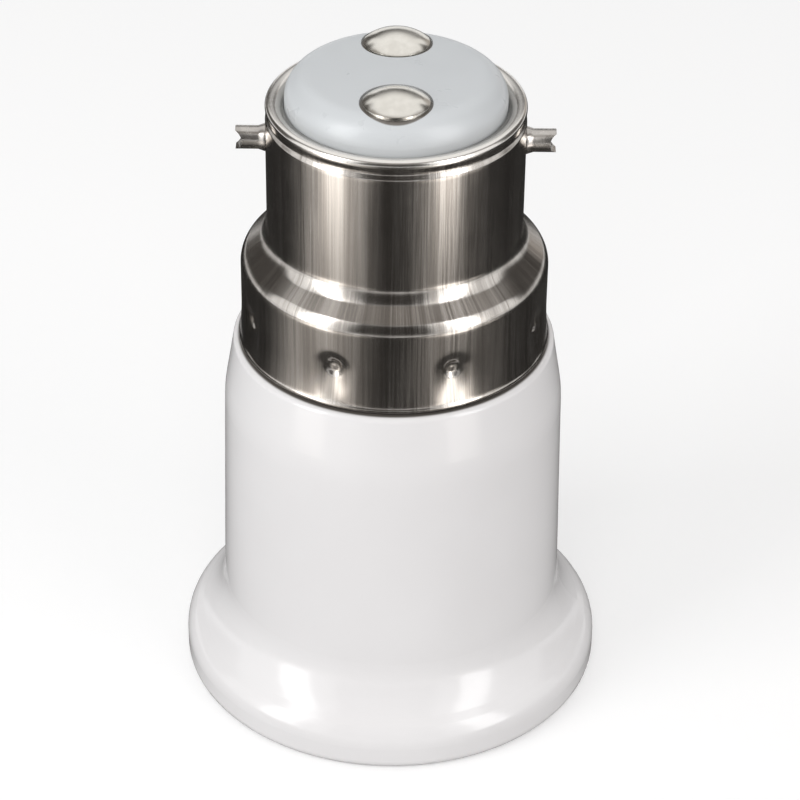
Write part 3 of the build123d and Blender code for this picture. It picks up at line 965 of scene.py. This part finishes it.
# %% Socket: join the neck to the thread
neck_mesh = bpy.data.meshes.new("neck")
neck.to_mesh(neck_mesh)
neck.free()
bm.from_mesh(neck_mesh)
bpy.data.meshes.remove(neck_mesh)
seam_z = thread_end_z + SEAM / 2
seam = []
for edge in bm.edges:
    middle = (edge.verts[0].co.z + edge.verts[1].co.z) / 2 / MM
    if edge.is_boundary and abs(middle - seam_z) < SEAM_REACH:
        seam.append(edge)
bmesh.ops.bridge_loops(bm, edges=seam)
face_outwards(bm)
print("edges bridged:", len(seam))

socket = piece("threaded_socket", bm, socket_nickel, "socket_nickel", "screw_shell")
give_thickness(socket, SLEEVE_SHEET, 1)
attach(socket, "adapter")

# %% [markdown]
# ## Sprung centre contact
# The lamp's tip presses on a strip of brass that bends at its root. The strip is drawn as a line
# in the XZ plane, extruded to its width and given thickness.

# %% Leaf: strip and thickness
LEAF_SHEET, LEAF_WIDTH, LEAF_EDGE = 0.4, 5.5, 0.07
FOOT_LENGTH, NOSE_LENGTH = 4.0, 1.9
TONGUE_DEG, NOSE_DEG, SHARP_DEG = 32, 15, 60
ROOT_ROUND, NOSE_ROUND = (1.0, 8), (1.1, 8)
leaf_low, leaf_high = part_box("centre_contact")
foot_x, foot_z = leaf_high.x / MM, leaf_high.z / MM
root_x = foot_x - FOOT_LENGTH
nose_z = foot_z - root_x * math.tan(math.radians(TONGUE_DEG))
end_z = nose_z + NOSE_LENGTH * math.tan(math.radians(NOSE_DEG))

bm = bmesh.new()
line = corner_line(bm, [(foot_x, foot_z), (root_x, foot_z), (0, nose_z), (-NOSE_LENGTH, end_z)])
round_corner(bm, line[1], *ROOT_ROUND)
round_corner(bm, line[2], *NOSE_ROUND)
bmesh.ops.translate(bm, verts=bm.verts, vec=(0, -LEAF_WIDTH / 2 * MM, 0))
wide = bmesh.ops.extrude_edge_only(bm, edges=bm.edges[:])["geom"]
far_side = [item for item in wide if isinstance(item, bmesh.types.BMVert)]
bmesh.ops.translate(bm, verts=far_side, vec=(0, LEAF_WIDTH * MM, 0))
bmesh.ops.recalc_face_normals(bm, faces=bm.faces)
if max(bm.faces, key=lambda face: face.calc_center_median().x).normal.z < 0:
    bmesh.ops.reverse_faces(bm, faces=bm.faces)
bmesh.ops.solidify(bm, geom=bm.faces[:], thickness=LEAF_SHEET * MM)
bmesh.ops.recalc_face_normals(bm, faces=bm.faces)
sharp = [edge for edge in bm.edges if edge.calc_face_angle(0) > math.radians(SHARP_DEG)]
bmesh.ops.bevel(
    bm, geom=sharp, offset=LEAF_EDGE * MM, offset_type="OFFSET", affect="EDGES", segments=2,
    profile=0.5, material=-1,
)
for name, pick, solid in (("low", min, leaf_low), ("high", max, leaf_high)):
    corner = [pick(vert.co[axis] for vert in bm.verts) / MM for axis in range(3)]
    print(name, "of the leaf:", [round(v, 3) for v in corner])
    print(name, "of its solid:", [round(v / MM, 3) for v in solid])

# %% Leaf: the finished piece, with its place baked into its mesh
leaf = piece("sprung_leaf", bm, brass, "brass", "centre_contact")
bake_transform(leaf)

# %% [markdown]
# ## Pieces that keep the solid's shape
# Turned and stamped parts have no truly sharp edge, and the eye knows a real edge by the thin
# bright line on it. Remodelling them all would be long work for one small round, so modifiers do
# it: Weld joins a solid's loose triangles, and Bevel rounds its sharp edges.

# %% Soften the edges
WELD = 0.001
EDGE_DEG, EDGE_SEGMENTS = 40, 3


def soften(width_mm, *names):
    for name in names:
        weld = nodes[name].modifiers.new("weld", "WELD")
        weld.merge_threshold = WELD * MM
        edge = nodes[name].modifiers.new("edge", "BEVEL")
        edge.limit_method = "ANGLE"
        edge.angle_limit = math.radians(EDGE_DEG)
        edge.width = width_mm * MM
        edge.segments = EDGE_SEGMENTS
    print("edges of", width_mm, "mm on", names)


soften(0.12, "contact_front", "contact_rear")
soften(0.10, "bayonet_pin_left", "bayonet_pin_right")
soften(0.08, "shell_rivets", "centre_rivet")

# %% [markdown]
# Each solid that keeps its own shape gets the finish of its real material: plated contacts and
# pins, brass rivets, tinned leads in their sleeves, and the two mouldings.

# %% Dress the solids
def dress(material, *names):
    for name in names:
        mesh = nodes[name].data
        mesh.materials.clear()
        mesh.materials.append(material)
    print(material.name, "on", names)


dress(white_plastic, "housing_body")
dress(insulator_plastic, "contact_insulator")
dress(bright_nickel, "contact_front", "contact_rear")
dress(pin_nickel, "bayonet_pin_left", "bayonet_pin_right")
dress(brass, "shell_rivets", "centre_rivet")
dress(tinned_copper, "centre_lead", "shell_lead")
dress(lead_sleeve, "centre_lead_sleeve", "shell_lead_sleeve")
